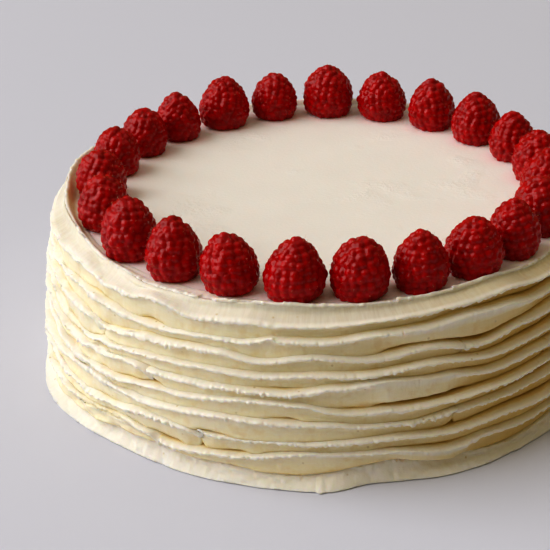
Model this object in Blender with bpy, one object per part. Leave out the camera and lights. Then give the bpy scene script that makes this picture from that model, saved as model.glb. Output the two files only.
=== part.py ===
"""A round cream cake: smooth top, piped ruffles all round its side, and a ring of whole raspberries.

Run it with: blender --background --python part.py
Metres, +Z up. The origin is the centre of the flat underside, and -Y is the side that faces the viewer.
Azimuth is the angle round the cake in degrees: 0 at the front (-Y), growing towards +X.
"""

import math
import random

import bmesh
import bpy
import numpy as np

MM = 0.001
SEED = 7

# The cake: an 8-inch round, coated in cream
TOP_HEIGHT = 0.0640  # of the smooth top
TOP_RADIUS = 0.0935  # where the smooth top meets the rim of the piped cream
GAP = 0.0003  # between touching pieces

# The piped cream
CREST_HEIGHT = 0.0660  # the top edge of the piping, a little proud of the smooth top
CREST_RADIUS = 0.0990
SECTIONS = 70  # upright sections round the ring
ROWS = 10  # piped rows under the crest, numbered from 0 at the top
ROW_TOP = 0.0615  # mean height of the edge of row 0
ROW_BOTTOM = 0.0052  # and of the lowest row, the spread foot
ROW_PITCH = (ROW_TOP - ROW_BOTTOM) / (ROWS - 1)
TOP_ROW_RADIUS = 0.1052  # out to the edge of row 0
WIDEST_RADIUS = 0.1114  # out to the edge of the row above the foot
FOOT_ROW_RADIUS = 0.1100
FOOT_RADIUS = 0.1105  # where the lowest row spreads out on the underside
# Cross-section of a row, from the groove above it over its thin edge to the wall of cream below:
# mm in from the edge, mm up from it
ROW_SECTION = ((2.8, 0.9), (1.2, 0.45), (0.0, -0.4), (0.3, -1.3), (2.1, -2.0))
LEAST_PITCH = 0.0036  # rows that lie closer than this are squeezed
RAMP_DEPTH = 0.0032  # the top row has no groove but a hollow ramp: how far in its lowest part lies
RAMP_RISE = 0.25  # and how far up, as a share of the way to the crest
# Cross-section of the crest: mm out from it, mm up from it
CREST_SECTION = ((-0.9, -0.2), (0.0, 0.0), (0.9, -0.7))
RIM_WIDTH = 0.0029  # of the strip inside the crest that rises gently from the smooth top
RIM_RISE = 0.15  # how far it rises, as a share of the way to the crest
FOOT_THICKNESS = 0.0009  # of the foot's own edge
FOOT_BEVEL = 0.0006  # how far that edge is drawn in underneath
WAVE = 0.0007  # height of the small waves in a row's edge, away from the front
SEEN_HALF = 50.0  # degrees either way from the front over which the pairs below say how the rows run
SEEN_FADE = 40.0  # degrees past that by which the small waves are at their full height
SEEN_WAVES = 0.25  # share of the small waves that the front has on top of the pairs
LIP_WAVE = 0.0003  # how far a row's edge moves in and out
FOOT_WAVE = 0.00036

# How each row's edge climbs and sinks round the front: (azimuth, rise in mm)
CREST_WANDER = (
    (-65, 2.2), (-50, -0.5), (-35, -2.0), (-25, -1.7), (-12, 0.0), (15, -0.6), (35, 0.8), (50, -1.8),
)
ROW_WANDER = (
    ((-60, 1.7), (-47, -0.4), (-41, -0.2), (-35, 2.0), (-25, -1.3),
     (-15, -0.2), (-8, -1.4), (25, 1.3), (38, 1.6), (48, -0.6)),
    ((-55, -0.3), (-38, -3.2), (-16, -1.4), (-9, 0.4), (0, 0.0),
     (10, 2.0), (18, 2.2), (28, 3.6), (36, 2.8), (46, 0.4)),
    ((-60, -2.1), (-47, -4.2), (-35, -0.8), (-20, 0.4), (-12, -1.5),
     (-2, 1.0), (9, -0.7), (20, 1.5), (31, -2.0), (40, 0.2)),
    ((-55, -5.8), (-45, -3.1), (-35, -1.0), (-22, -0.2), (-12, -0.6),
     (0, 0.7), (6, 0.4), (20, 2.1), (34, -1.3), (44, -0.8)),
    ((-55, -3.4), (-49, -1.3), (-38, 0.2), (-8, -0.4), (3, 2.4), (10, 4.0), (22, 2.6), (33, -0.4), (44, 0.7)),
    ((-56, -2.8), (-48, -2.3), (-30, 0.4), (-11, 2.7), (-5, 2.3), (5, -0.8), (15, -0.7), (34, -0.2), (44, 0.7)),
    ((-50, 0.6), (-40, -0.4), (-18, 1.8), (0, 1.6), (8, 0.0), (16, -0.2), (26, 1.4), (44, 1.4)),
    ((-50, -1.3), (-34, 1.2), (-21, -0.6), (-8, 0.0), (11, 1.1), (24, -0.7), (36, 0.3), (46, -0.8)),
    ((-55, -0.8), (-41, 1.5), (-36, 0.8), (-30, -1.8), (-18, -1.4),
     (-2, 1.8), (10, 2.1), (24, -0.9), (31, 0.5), (42, -0.4)),
    ((-65, -1.3), (-37, 2.4), (-20, 0.0), (-6, -0.6), (11, 3.2), (24, 0.0), (38, -2.6)),
)
# How far the foot spreads beyond FOOT_RADIUS: (azimuth, mm outwards)
FOOT_WANDER = ((-65, 3.0), (-40, -0.5), (-20, 0.6), (0, 2.4), (9, -1.8), (25, 0.3), (45, -0.8))
WANDER_FADE = 25  # degrees past the last pair by which a row is back to its waves

# Where a piped row is broken, so that its edge draws back: (row, azimuth)
JOINS = ((1, -13), (2, -52), (2, 29), (4, -40), (4, 48), (6, 31), (7, -31), (3, 118), (5, 160), (8, 205))
JOIN_WIDTH = 3.5  # degrees
JOIN_TUCK = 0.0014  # how far the edge draws back there

# The raspberries, open end down: (azimuth, distance from the centre, width, height), in degrees and mm
BERRIES = (
    (-6.6, 87.6, 22.4, 22.0), (8.2, 87.7, 21.0, 21.2), (22.6, 87.7, 20.4, 21.2), (37.2, 87.6, 21.2, 20.6),
    (51.2, 88.0, 19.6, 20.8), (66.2, 87.5, 20.8, 21.2), (82.5, 86.5, 21.2, 21.8), (98.5, 85.6, 20.0, 20.2),
    (114.5, 84.8, 19.2, 19.4), (130.2, 84.2, 21.0, 20.6), (146.4, 84.8, 20.2, 20.8), (162.4, 87.0, 21.4, 19.8),
    (178.0, 88.4, 21.8, 21.2), (193.4, 87.6, 20.2, 19.2), (208.8, 86.6, 21.8, 21.4), (224.2, 86.2, 19.0, 19.8),
    (238.4, 86.0, 19.0, 19.0), (253.6, 86.0, 19.2, 19.2), (270.0, 86.0, 20.0, 19.8), (288.6, 86.2, 20.6, 20.8),
    (307.2, 87.6, 21.2, 22.8), (323.0, 87.2, 21.2, 22.4), (338.3, 87.0, 21.2, 20.6),
)
BERRY_WAIST = 0.36  # height of the widest part, as a share of the berry's height
BERRY_BASE_DEPTH = 0.55  # how deep the lower half would be if it weren't cut flat
BERRY_SHOULDER = 1.12  # above 1 the upper half is more pointed than an egg
BERRY_FULLNESS = 1.03  # makes up for the dimples and the flat faces
DRUPELET_DEPTH = 0.0010  # of the dimples between the drupelets
DIMPLE_SHARES = (0.8, 1.2)  # how much of that depth a dimple has, by a seeded draw
DRUPELET_SHARES = (0.0, 0.25)  # and how far a drupelet's tip is drawn in
LIFT = 0.0003  # of what lies just over a berry's flat base
BERRY_SPIN = 47.0  # degrees that each berry is turned from the one before


def clear_scene():
    for leftover in list(bpy.data.objects):
        bpy.data.objects.remove(leftover, do_unlink=True)


def make_material(name, colour, roughness):
    material = bpy.data.materials.new(name)
    material.use_nodes = True
    shader = material.node_tree.nodes["Principled BSDF"]
    shader.inputs["Base Color"].default_value = (*colour, 1.0)
    shader.inputs["Roughness"].default_value = roughness
    shader.inputs["Metallic"].default_value = 0.0
    return material


def add_object(name, mesh, material, collection):
    piece = bpy.data.objects.new(name, mesh)
    mesh.materials.append(material)
    collection.objects.link(piece)
    return piece


def smooth_step(share):
    share = np.clip(share, 0.0, 1.0)
    return share * share * (3.0 - 2.0 * share)


def turn_from(azimuth, centre):
    """Signed angle in degrees from centre to azimuth, the short way round."""
    return (np.asarray(azimuth) - centre + 180.0) % 360.0 - 180.0


def wander(azimuth, pairs):
    """The rise, in metres, at an azimuth, eased between the pairs and dying away past the outer ones."""
    stations = [pairs[0][0] - WANDER_FADE] + [pair[0] for pair in pairs] + [pairs[-1][0] + WANDER_FADE]
    rises = [0.0] + [pair[1] for pair in pairs] + [0.0]
    angle = turn_from(azimuth, 0.0)
    total = np.zeros_like(angle, dtype=float)
    for left, right, low, high in zip(stations, stations[1:], rises, rises[1:]):
        inside = (angle >= left) & (angle < right)
        eased = low + (high - low) * smooth_step((angle - left) / (right - left))
        total = np.where(inside, eased, total)
    return total * MM


def seeded_waves(azimuth, seed, size):
    """A gentle uneven wave round the ring, the same each run."""
    draw = random.Random(seed)
    turn = np.radians(azimuth)
    total = np.zeros_like(turn, dtype=float)
    for count in (2, 3, 5, 8):
        total += draw.uniform(0.5, 1.0) * np.sin(count * turn + draw.uniform(0.0, 2.0 * math.pi))
    return total * size


def row_height(row, azimuth):
    """Height of a row's edge. Behind, where no pairs say how it wanders, its waves are larger."""
    away = smooth_step((np.abs(turn_from(azimuth, 0.0)) - SEEN_HALF) / SEEN_FADE)
    waves = seeded_waves(azimuth, SEED + 10 * row, WAVE) * (SEEN_WAVES + (1.0 - SEEN_WAVES) * away)
    return ROW_TOP - row * ROW_PITCH + wander(azimuth, ROW_WANDER[row]) + waves


def row_radius(row, azimuth):
    """Distance from the centre out to a row's edge: the side leans out a little towards the foot."""
    if row == ROWS - 1:
        mean = FOOT_ROW_RADIUS
    else:
        lean = math.sin(0.5 * math.pi * row / (ROWS - 2))
        mean = TOP_ROW_RADIUS + (WIDEST_RADIUS - TOP_ROW_RADIUS) * lean
    return mean + seeded_waves(azimuth, SEED + 10 * row + 5, LIP_WAVE)


def join_tuck(row, azimuth):
    """How far a row's edge draws back where the row is broken."""
    tuck = 0.0
    for join_row, centre in JOINS:
        if join_row == row:
            tuck += JOIN_TUCK * math.exp(-((float(turn_from(azimuth, centre)) / JOIN_WIDTH) ** 2))
    return tuck


def row_outline(edges, row, azimuth):
    """Cross-section of one row. Where a neighbour lies close, the half on that side is squeezed flat."""
    radius = float(row_radius(row, azimuth)) - join_tuck(row, azimuth)
    above = min(1.0, (edges[row - 1] - edges[row]) / LEAST_PITCH) if row > 0 else 1.0
    below = min(1.0, (edges[row] - edges[row + 1]) / LEAST_PITCH) if row < ROWS - 1 else 1.0
    outline = []
    for depth, up in ROW_SECTION:
        squeezed = up * (above if up > 0.0 else below)
        outline.append((radius - depth * MM, edges[row] + squeezed * MM))
    return outline


def ring_section(azimuth):
    """The closed outline of the piped cream at one azimuth, as (radius, height) pairs: down the outside,
    in along the underside, and up the inner wall."""
    crest = CREST_HEIGHT + float(wander(azimuth, CREST_WANDER))
    edges = [float(row_height(row, azimuth)) for row in range(ROWS)]
    outline = [(CREST_RADIUS + out * MM, crest + up * MM) for out, up in CREST_SECTION]
    for row in range(ROWS):
        outline += row_outline(edges, row, azimuth)
    ramp_at = len(CREST_SECTION)
    outline[ramp_at] = (TOP_ROW_RADIUS - RAMP_DEPTH, edges[0] + RAMP_RISE * (crest - edges[0]))
    outline.pop()  # the lowest row has no wall below it: its edge runs down into the foot
    foot = FOOT_RADIUS + float(wander(azimuth, FOOT_WANDER))
    foot += float(seeded_waves(azimuth, SEED + 200, FOOT_WAVE))
    outline += [
        (foot, FOOT_THICKNESS),
        (foot - FOOT_BEVEL, 0.0),
        (TOP_RADIUS, 0.0),
        (TOP_RADIUS, TOP_HEIGHT),
        (TOP_RADIUS + RIM_WIDTH, TOP_HEIGHT + RIM_RISE * (crest - TOP_HEIGHT)),
    ]
    return outline


def ring_of_sections(name, outlines):
    """A closed ring lofted through upright sections, which differ from each other all the way round."""
    bm = bmesh.new()
    loops = []
    for index, outline in enumerate(outlines):
        turn = 2.0 * math.pi * index / len(outlines)
        along = (math.sin(turn), -math.cos(turn))
        loops.append([bm.verts.new((r * along[0], r * along[1], z)) for r, z in outline])
    for here, beyond in zip(loops, loops[1:] + loops[:1]):
        for k in range(len(here)):
            after = (k + 1) % len(here)
            bm.faces.new((here[k], beyond[k], beyond[after], here[after]))
    bmesh.ops.recalc_face_normals(bm, faces=bm.faces)
    mesh = bpy.data.meshes.new(name)
    bm.to_mesh(mesh)
    bm.free()
    mesh.shade_smooth()
    return mesh


def make_ruffled_cream(collection, material):
    outlines = [ring_section(360.0 * index / SECTIONS) for index in range(SECTIONS)]
    return add_object("ruffled_cream", ring_of_sections("ruffled_cream", outlines), material, collection)


def make_cake(collection, material):
    """The uncut cake under its coat of cream, solid, inside the ring of piping."""
    bm = bmesh.new()
    bmesh.ops.create_cone(
        bm,
        cap_ends=True,
        segments=SECTIONS,
        radius1=TOP_RADIUS - GAP,
        radius2=TOP_RADIUS - GAP,
        depth=TOP_HEIGHT,
    )
    bmesh.ops.translate(bm, verts=bm.verts, vec=(0.0, 0.0, 0.5 * TOP_HEIGHT))
    mesh = bpy.data.meshes.new("cake")
    bm.to_mesh(mesh)
    bm.free()
    mesh.shade_smooth()
    mesh.set_sharp_from_angle(angle=math.radians(30.0))
    return add_object("cake", mesh, material, collection)


def berry_point(direction, width, height):
    """Moves a point of the unit sphere onto a raspberry: flat underneath, widest low down, domed above."""
    rise = direction.z
    if rise < 0.0:
        level = BERRY_WAIST + BERRY_BASE_DEPTH * rise
    else:
        level = BERRY_WAIST + (1.0 - BERRY_WAIST) * rise**BERRY_SHOULDER
    return (
        0.5 * BERRY_FULLNESS * width * direction.x,
        0.5 * BERRY_FULLNESS * width * direction.y,
        height * max(0.0, level),
    )


def berry_mesh(name, width, height, seed):
    """Drupelets are the corners of a geodesic ball, and the middle of each of its faces is a dimple."""
    draw = random.Random(seed)
    bm = bmesh.new()
    bmesh.ops.create_icosphere(bm, subdivisions=2, radius=1.0)
    poked = bmesh.ops.poke(bm, faces=bm.faces[:])
    for dimple in poked["verts"]:
        dimple.co.normalize()
    dimples = set(poked["verts"])
    for vert in bm.verts:
        out = vert.co.normalized()
        vert.co = berry_point(out, width, height)
        if vert.co.z > 0.0:
            shares = DIMPLE_SHARES if vert in dimples else DRUPELET_SHARES
            vert.co -= DRUPELET_DEPTH * draw.uniform(*shares) * out
            vert.co.z = max(vert.co.z, LIFT)
    bmesh.ops.recalc_face_normals(bm, faces=bm.faces)
    mesh = bpy.data.meshes.new(name)
    bm.to_mesh(mesh)
    bm.free()
    mesh.shade_smooth()
    return mesh


def make_berries(collection, material):
    """A ring of raspberries on the smooth top, each its own piece."""
    for index, (azimuth, distance, width, height) in enumerate(BERRIES):
        name = f"berry_{index + 1:02d}"
        mesh = berry_mesh(name, width * MM, height * MM, SEED + index)
        berry = add_object(name, mesh, material, collection)
        turn = math.radians(azimuth)
        berry.location = (
            distance * MM * math.sin(turn),
            -distance * MM * math.cos(turn),
            TOP_HEIGHT + GAP,
        )
        berry.rotation_euler = (0.0, 0.0, math.radians(BERRY_SPIN * index))


def main():
    clear_scene()
    collection = bpy.data.collections.new("raspberry_cream_cake")
    bpy.context.scene.collection.children.link(collection)
    smooth_cream = make_material("smooth_cream", (0.76, 0.69, 0.60), 0.6)
    piped_cream = make_material("piped_cream", (0.82, 0.74, 0.55), 0.5)
    raspberry = make_material("raspberry", (0.42, 0.012, 0.018), 0.4)
    make_cake(collection, smooth_cream)
    make_ruffled_cream(collection, piped_cream)
    make_berries(collection, raspberry)
    bpy.context.view_layer.update()


main()
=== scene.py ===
"""The looks of the raspberry cream cake: piped rows of whipped cream, a smoothed top and ripe raspberries.

Metres, +Z up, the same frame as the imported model. Azimuth is the angle round the cake in degrees: 0 at the
front (-Y), growing towards +X.
"""

import math
import random

import bmesh
import bpy
import numpy as np
from mathutils import Matrix, Vector


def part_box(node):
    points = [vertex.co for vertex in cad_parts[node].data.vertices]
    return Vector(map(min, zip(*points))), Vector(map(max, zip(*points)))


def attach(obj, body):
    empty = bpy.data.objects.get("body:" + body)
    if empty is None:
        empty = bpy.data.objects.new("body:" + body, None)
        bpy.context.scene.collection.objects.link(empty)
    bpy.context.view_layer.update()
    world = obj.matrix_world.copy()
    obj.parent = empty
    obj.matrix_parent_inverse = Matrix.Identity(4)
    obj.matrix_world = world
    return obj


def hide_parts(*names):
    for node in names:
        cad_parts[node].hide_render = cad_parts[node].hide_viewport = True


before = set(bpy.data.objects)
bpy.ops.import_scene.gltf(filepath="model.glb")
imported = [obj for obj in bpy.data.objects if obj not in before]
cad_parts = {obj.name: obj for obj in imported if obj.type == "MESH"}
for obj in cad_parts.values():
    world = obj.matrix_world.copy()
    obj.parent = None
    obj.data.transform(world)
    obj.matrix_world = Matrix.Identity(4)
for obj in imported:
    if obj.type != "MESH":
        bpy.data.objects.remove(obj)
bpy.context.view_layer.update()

MM = 0.001
SEED = 7

# ---------------- sizes, as the solids have them
TOP_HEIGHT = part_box("cake")[1].z  # of the smooth top
TOP_RADIUS = 0.0935
CREST_HEIGHT = 0.0660
CREST_RADIUS = 0.0990
ROWS = 10
ROW_TOP = 0.0615
ROW_BOTTOM = 0.0052
ROW_PITCH = (ROW_TOP - ROW_BOTTOM) / (ROWS - 1)
TOP_ROW_RADIUS = 0.1052
WIDEST_RADIUS = 0.1114
FOOT_ROW_RADIUS = 0.1080
FOOT_RADIUS = 0.1116
FOOT_INNER = 0.1000  # where the foot's underside ends
CORE_TOP = 0.0605
CORE_DEPTH = 4.9 * MM  # how deep under the rows' edges the core lies
WAVE = 0.0007  # how far a row waves up and down at the back
SEEN_WAVE = 0.25  # share of that at the front, where it follows ROW_WANDER
SEEN_HALF = 50.0  # degrees to either side of the front over which it does
SEEN_FADE = 40.0  # degrees over which the front passes into the back
ROW_WAVE = 0.0003  # how far a row waves in and out
FOOT_WAVE = 0.00036  # and how far the foot's rim does

# How far the crest and the rows wander up or down, and the foot's rim in or out: (azimuth, mm)
CREST_WANDER = (
    (-65, 2.2), (-50, -0.5), (-35, -2.0), (-25, -1.7), (-12, 0.0), (15, -0.6), (35, 0.8), (50, -1.8),
)
ROW_WANDER = (
    ((-60, 1.7), (-47, -0.4), (-41, -0.2), (-35, 2.0), (-25, -1.3), (-15, -0.2), (-8, -1.4), (25, 1.3),
     (38, 1.6), (48, -0.6)),
    ((-55, -0.3), (-38, -3.2), (-16, -1.4), (-9, 0.4), (0, 0.0), (10, 2.0), (18, 2.2), (28, 3.6), (36, 2.8),
     (46, 0.4)),
    ((-60, -2.1), (-47, -4.2), (-35, -0.8), (-20, 0.4), (-12, -1.5), (-2, 1.0), (9, -0.7), (20, 1.5),
     (31, -2.0), (40, 0.2)),
    ((-55, -5.8), (-45, -3.1), (-35, -1.0), (-22, -0.2), (-12, -0.6), (0, 0.7), (6, 0.4), (20, 2.1),
     (34, -1.3), (44, -0.8)),
    ((-55, -3.4), (-49, -1.3), (-38, 0.2), (-8, -0.4), (3, 2.4), (10, 4.0), (22, 2.6), (33, -0.4), (44, 0.7)),
    ((-56, -2.8), (-48, -2.3), (-30, 0.4), (-11, 2.7), (-5, 2.3), (5, -0.8), (15, -0.7), (34, -0.2),
     (44, 0.7)),
    ((-50, 0.6), (-40, -0.4), (-18, 1.8), (0, 1.6), (8, 0.0), (16, -0.2), (26, 1.4), (44, 1.4)),
    ((-50, -1.3), (-34, 1.2), (-21, -0.6), (-8, 0.0), (11, 1.1), (24, -0.7), (36, 0.3), (46, -0.8)),
    ((-55, -0.8), (-41, 1.5), (-36, 0.8), (-30, -1.8), (-18, -1.4), (-2, 1.8), (10, 2.1), (24, -0.9),
     (31, 0.5), (42, -0.4)),
    ((-65, -1.3), (-37, 2.4), (-20, 0.0), (-6, -0.6), (11, 3.2), (24, 0.0), (38, -2.6)),
)
FOOT_WANDER = ((-65, 3.0), (-40, -0.5), (-20, 0.6), (0, 2.4), (9, -1.8), (25, 0.3), (45, -0.8))
WANDER_FADE = 25  # degrees past the first and the last of them over which it dies away

# Each berry's azimuth, and in mm how far out it stands, its width and its height
BERRIES = (
    (-6.6, 87.6, 22.4, 22.0), (8.2, 87.7, 21.0, 21.2), (22.6, 87.7, 20.4, 21.2), (37.2, 87.6, 21.2, 20.6),
    (51.2, 88.0, 19.6, 20.8), (66.2, 87.5, 20.8, 21.2), (82.5, 86.5, 21.2, 21.8), (98.5, 85.6, 20.0, 20.2),
    (114.5, 84.8, 19.2, 19.4), (130.2, 84.2, 21.0, 20.6), (146.4, 84.8, 20.2, 20.8),
    (162.4, 87.0, 21.4, 19.8), (178.0, 88.4, 21.8, 21.2), (193.4, 87.6, 20.2, 19.2),
    (208.8, 86.6, 21.8, 21.4), (224.2, 86.2, 19.0, 19.8), (238.4, 86.0, 19.0, 19.0),
    (253.6, 86.0, 19.2, 19.2), (270.0, 86.0, 20.0, 19.8), (288.6, 86.2, 20.6, 20.8),
    (307.2, 87.6, 21.2, 22.8), (323.0, 87.2, 21.2, 22.4), (338.3, 87.0, 21.2, 20.6),
)

# Where a piped row is broken: (row, azimuth, which end lies in front, how far it stands out from 0 to 1,
# how many mm its tip curls up). -1 is the end that comes from the left, 1 the one that goes on to the right.
JOINS = (
    (2, -49.3, 1, 0.7, 0.6), (2, 27, -1, 0.3, -0.6), (4, -35.2, 1, 1.0, -0.4), (4, 48, -1, 0.3, 0.4),
    (6, 25, -1, 0.2, 0.7), (7, -24, 1, 0.6, 1.2), (8, -32.5, 1, 0.7, -0.3), (1, 96, -1, 0.5, 0.5),
    (3, 118, 1, 0.4, 0.6), (5, 160, -1, 0.7, 1.0), (8, 205, 1, 0.4, 0.5), (2, 238, -1, 0.5, 0.3),
)
# Small cusps of a row's edge: (row, azimuth, mm up, degrees of its slope; below 0 it rises from the right)
CUSPS = (
    (1, -9.5, 1.5, 1.5), (3, -33, 0.6, -1.0), (8, -2, 0.5, 1.2), (5, 12, 0.6, 1.0), (4, 130, 0.9, 1.4),
    (1, 190, 1.0, -1.5),
)
# Where a row's blade has sunk back towards the wall: (row, azimuth, half-width in degrees, mm)
SUNK = (
    (8, -48, 15, 1.6), (4, 16, 8, 0.4), (3, -60, 9, 0.8), (5, 100, 20, 0.8), (7, 170, 14, 1.0),
    (2, 215, 12, 0.9),
)
# Where a row is torn more than elsewhere: (row, azimuth, half-width in degrees, how much more)
RAGGED = (
    (9, -35, 28, 1.0), (9, 6, 22, 1.2), (6, 18, 8, 1.8), (7, -33, 9, 1.4), (2, -30, 6, 0.7),
    (4, -20, 6, 0.5), (1, 140, 12, 1.0), (7, 220, 12, 1.2),
)

# ---------------- the camera, measured from the photograph
PHOTO_SIZE = 550
FOCAL_PIXELS = 1724.0
CAMERA_DISTANCE = 0.687
CAMERA_ELEVATION = 26.0
CAMERA_ROLL = 0.7
AIM_HEIGHT = 0.0328
AIM_PIXEL = (323.3, 265.2)  # where the point on the axis at AIM_HEIGHT shows in the photograph
SENSOR = 36.0

# ---------------- how fine the meshes are
FRONT_STEP = 0.19  # degrees between a row's sections at the front, where its detail shows best
BACK_STEP = 0.56  # and elsewhere
FRONT_HALF = 75.0  # how far the front goes to either side
LEAST_STEP = 0.05  # from a strip's end to the next section
TOP_RINGS = 60
TOP_STEPS = 300


# ================ helpers
def smooth_step(share):
    share = np.clip(share, 0.0, 1.0)
    return share * share * (3.0 - 2.0 * share)


def turn_from(azimuth, centre):
    """Signed angle in degrees from centre to azimuth, the short way round."""
    return (np.asarray(azimuth, dtype=float) - centre + 180.0) % 360.0 - 180.0


def wander(azimuth, pairs):
    """A smooth line through the pairs of azimuth and mm, in metres; 0 away from them."""
    stations = [pairs[0][0] - WANDER_FADE] + [pair[0] for pair in pairs] + [pairs[-1][0] + WANDER_FADE]
    rises = [0.0] + [pair[1] for pair in pairs] + [0.0]
    angle = turn_from(azimuth, 0.0)
    total = np.zeros_like(angle)
    for left, right, low, high in zip(stations, stations[1:], rises, rises[1:]):
        inside = (angle >= left) & (angle < right)
        eased = low + (high - low) * smooth_step((angle - left) / (right - left))
        total = np.where(inside, eased, total)
    return total * MM


def seeded_waves(azimuth, seed, size):
    """A few slow waves round the ring."""
    draw = random.Random(seed)
    turn = np.radians(azimuth)
    total = np.zeros_like(turn)
    for count in (2, 3, 5, 8):
        total += draw.uniform(0.5, 1.0) * np.sin(count * turn + draw.uniform(0.0, 2.0 * math.pi))
    return total * size


def ring_noise(azimuth, cells, seed):
    """Smooth noise from -1 to 1 round the ring, with the given number of cells in a full turn."""
    values = np.random.default_rng(seed).uniform(-1.0, 1.0, cells)
    at = (np.asarray(azimuth, dtype=float) % 360.0) / 360.0 * cells
    low = np.floor(at).astype(int)
    share = smooth_step(at - low)
    return values[low % cells] * (1.0 - share) + values[(low + 1) % cells] * share


def row_height(row, azimuth):
    away = smooth_step((np.abs(turn_from(azimuth, 0.0)) - SEEN_HALF) / SEEN_FADE)
    waves = seeded_waves(azimuth, SEED + 10 * row, WAVE) * (SEEN_WAVE + (1.0 - SEEN_WAVE) * away)
    return ROW_TOP - row * ROW_PITCH + wander(azimuth, ROW_WANDER[row]) + waves


def row_radius(row, azimuth):
    if row == ROWS - 1:
        mean = FOOT_ROW_RADIUS
    else:
        lean = math.sin(0.5 * math.pi * row / (ROWS - 2))
        mean = TOP_ROW_RADIUS + (WIDEST_RADIUS - TOP_ROW_RADIUS) * lean
    return mean + seeded_waves(azimuth, SEED + 10 * row + 5, ROW_WAVE)


def mesh_object(name, points, faces, attributes=None):
    """A smooth-shaded object from arrays of points and faces, with numbers or vectors for its material."""
    mesh = bpy.data.meshes.new(name)
    mesh.from_pydata(points.tolist(), [], faces)
    mesh.shade_smooth()
    for key, values in (attributes or {}).items():
        values = np.asarray(values, dtype=np.float32)
        if values.ndim == 2:
            mesh.attributes.new(key, "FLOAT_VECTOR", "POINT").data.foreach_set("vector", values.ravel())
        else:
            mesh.attributes.new(key, "FLOAT", "POINT").data.foreach_set("value", values)
    piece = bpy.data.objects.new(name, mesh)
    bpy.context.scene.collection.objects.link(piece)
    return piece


def loft_faces(sections, points, closed):
    """Faces between successive sections of a loft; an open loft is capped at both ends."""
    faces = []
    for s in range(sections if closed else sections - 1):
        here = s * points
        beyond = ((s + 1) % sections) * points
        for k in range(points):
            after = (k + 1) % points
            faces.append((here + k, beyond + k, beyond + after, here + after))
    if not closed:
        last = (sections - 1) * points
        faces.append(tuple(range(points)))
        faces.append(tuple(range(last + points - 1, last - 1, -1)))
    return faces


def ring_points(azimuth, radius, height):
    """Points from arrays of azimuth (one per section) and of radius and height (section by point)."""
    turn = np.radians(azimuth)[:, None]
    return np.stack([radius * np.sin(turn), -radius * np.cos(turn), height], axis=-1).reshape(-1, 3)


def finish_piece(piece, material, slot, *nodes):
    """Gives the piece its material, hangs it under the root body, and hides the CAD nodes that it stands in
    for; slot is not used.
    """
    piece.data.materials.append(material)
    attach(piece, "root")
    if nodes:
        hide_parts(*nodes)
    return piece


# ================ materials
EDGE_CREAM = (0.87, 0.83, 0.74), (0.89, 0.86, 0.79)  # the rows' edges, from patch to patch
WALL_CREAM = (0.87, 0.76, 0.47), (0.90, 0.83, 0.62)  # the walls between them, yellower with painted shade
LAYER_CREAM = (0.90, 0.84, 0.68)  # pale layers along a wall
BLOTCH_CREAM = (0.80, 0.64, 0.34)
CREVICE_CREAM = (0.77, 0.57, 0.23)  # deepest in shade
HOLE_SHADE_CREAM = (0.66, 0.55, 0.34)  # painted shade in the tiny air holes
STREAK_TINT = (0.82, 0.76, 0.64)
# brush marks, with painted shade that darkens the ramp and the crest's outer face
BRUSH_AND_SHADE_TINTS = (0.86, 0.85, 0.82), (0.80, 0.77, 0.72)
TOP_CREAM = (0.83, 0.80, 0.76), (0.88, 0.85, 0.81)
# pink near the berries and the rim: partly their juice, partly painted pink light thrown back by them
JUICE_AND_GLOW_CREAM = (0.96, 0.80, 0.79)
FLESH = (0.47, 0.0015, 0.003), (0.33, 0.0008, 0.002)  # from drupelet to drupelet
HAIR = (0.62, 0.25, 0.16)
HAIR_RIPENESS = 2.0  # what marks a hair; a drupelet has 0 to 1
WALL_SHADE = 0.55  # the shade at which the cream has a wall's colour
STREAK_STRETCH = 0.12  # the streaks across a row are this much slower than those along it


def new_material(name):
    material = bpy.data.materials.new(name)
    material.use_nodes = True
    return material, material.node_tree


def add_node(tree, kind, output, **inputs):
    """A new node's output. Its inputs, with _ for a space in their names, are sockets or plain values."""
    node = tree.nodes.new(kind)
    for name, value in inputs.items():
        set_socket(tree, node.inputs[name.replace("_", " ")], value)
    return node.outputs[output]


def set_socket(tree, socket, value):
    if isinstance(value, bpy.types.NodeSocket):
        tree.links.new(value, socket)
    elif value is not None:
        socket.default_value = value


def attribute(tree, name, output="Fac"):
    node = tree.nodes.new("ShaderNodeAttribute")
    node.attribute_name = name
    return node.outputs[output]


def mix_colours(tree, factor, first, second, mode="MIX"):
    """A colour mix whose factor and colours are sockets or plain values; returns its output socket."""
    node = tree.nodes.new("ShaderNodeMix")
    node.data_type = "RGBA"
    node.blend_type = mode
    set_socket(tree, node.inputs[0], factor)
    for socket, value in ((node.inputs[6], first), (node.inputs[7], second)):
        set_socket(tree, socket, (*value, 1.0) if isinstance(value, tuple) else value)
    return node.outputs[2]


def product(tree, first, second):
    node = tree.nodes.new("ShaderNodeMath")
    node.operation = "MULTIPLY"
    tree.links.new(first, node.inputs[0])
    tree.links.new(second, node.inputs[1])
    return node.outputs["Value"]


def noise(tree, coords, scale, detail=2.0, roughness=0.5):
    return add_node(tree, "ShaderNodeTexNoise", "Fac", Scale=scale, Detail=detail, Roughness=roughness,
                    Vector=coords)


def map_range(tree, value, low, high, most=1.0):
    """0 where the value is at low, and most where it is at high."""
    return add_node(tree, "ShaderNodeMapRange", "Result", Value=value, From_Min=low, From_Max=high,
                    To_Max=most)


def bump(tree, height, distance, strength, normal=None):
    return add_node(tree, "ShaderNodeBump", "Normal", Strength=strength, Distance=distance, Height=height,
                    Normal=normal)


def finish_material(material, colour, normal, roughness, specular, translucency):
    """Sets up the shader; translucency is a weight, a depth in metres, and each colour's share of it."""
    weight, scale, radius = translucency
    tree = material.node_tree
    settings = {
        "Base Color": colour, "Normal": normal, "Roughness": roughness, "Specular IOR Level": specular,
        "Subsurface Weight": weight, "Subsurface Scale": scale, "Subsurface Radius": radius,
    }
    for name, value in settings.items():
        set_socket(tree, tree.nodes["Principled BSDF"].inputs[name], value)
    return material


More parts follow.
